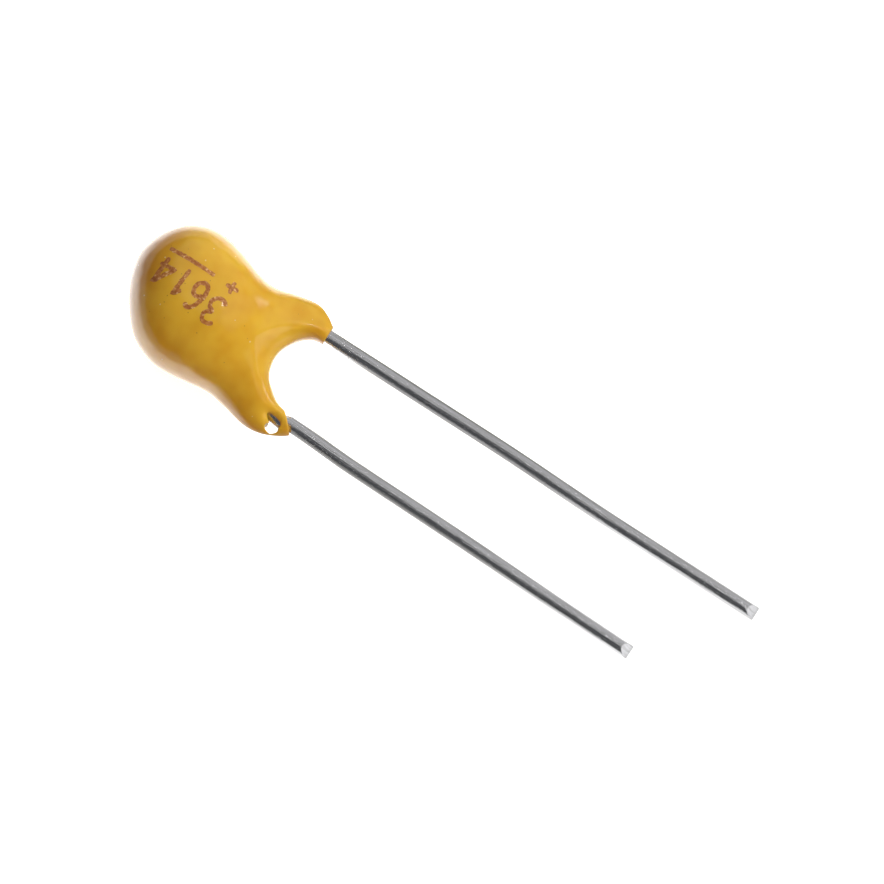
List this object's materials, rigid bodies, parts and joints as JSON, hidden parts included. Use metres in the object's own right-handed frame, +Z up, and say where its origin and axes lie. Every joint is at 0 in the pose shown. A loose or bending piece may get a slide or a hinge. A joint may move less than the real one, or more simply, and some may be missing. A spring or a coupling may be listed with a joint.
{
  "type": "tantalum capacitor",
  "caption": "Epoxy-dipped solid tantalum capacitor: a yellow resin bead with parallel tinned wire leads, the positive one longer, lying at rest.",
  "frame": {"origin": "on the surface that the capacitor lies on, under the centre of its bounding box", "axes": "+X along the leads from the resin bead towards their cut ends, +Y towards the positive lead, +Z up"},
  "size_m": [0.0234, 0.005, 0.0041],
  "materials": {
    "yellow_epoxy": "smooth glossy ochre-yellow dipped epoxy, with fine specks",
    "tinned_wire": "bright tin plating with fine drawing lines and light pitting",
    "sintered_tantalum": "matt porous sintered metal",
    "tantalum_wire": "drawn bluish-grey metal wire",
    "white_ptfe": "waxy white plastic",
    "manganese_dioxide": "matt black crystalline oxide",
    "graphite": "matt dark grey carbon coat",
    "silver_paint": "satin silver-loaded paint",
    "solder": "satin soft solder",
    "weld_metal": "dull spot weld"
  },
  "bodies": {
    "root": {"resin_coating": "yellow_epoxy", "positive_lead": "tinned_wire", "negative_lead": "tinned_wire", "tantalum_pellet": "sintered_tantalum", "anode_riser_wire": "tantalum_wire", "ptfe_washer": "white_ptfe", "manganese_dioxide_layer": "manganese_dioxide", "graphite_layer": "graphite", "silver_layer": "silver_paint", "solder_joint": "solder", "weld_joint": "weld_metal"}
  },
  "joints": []
}
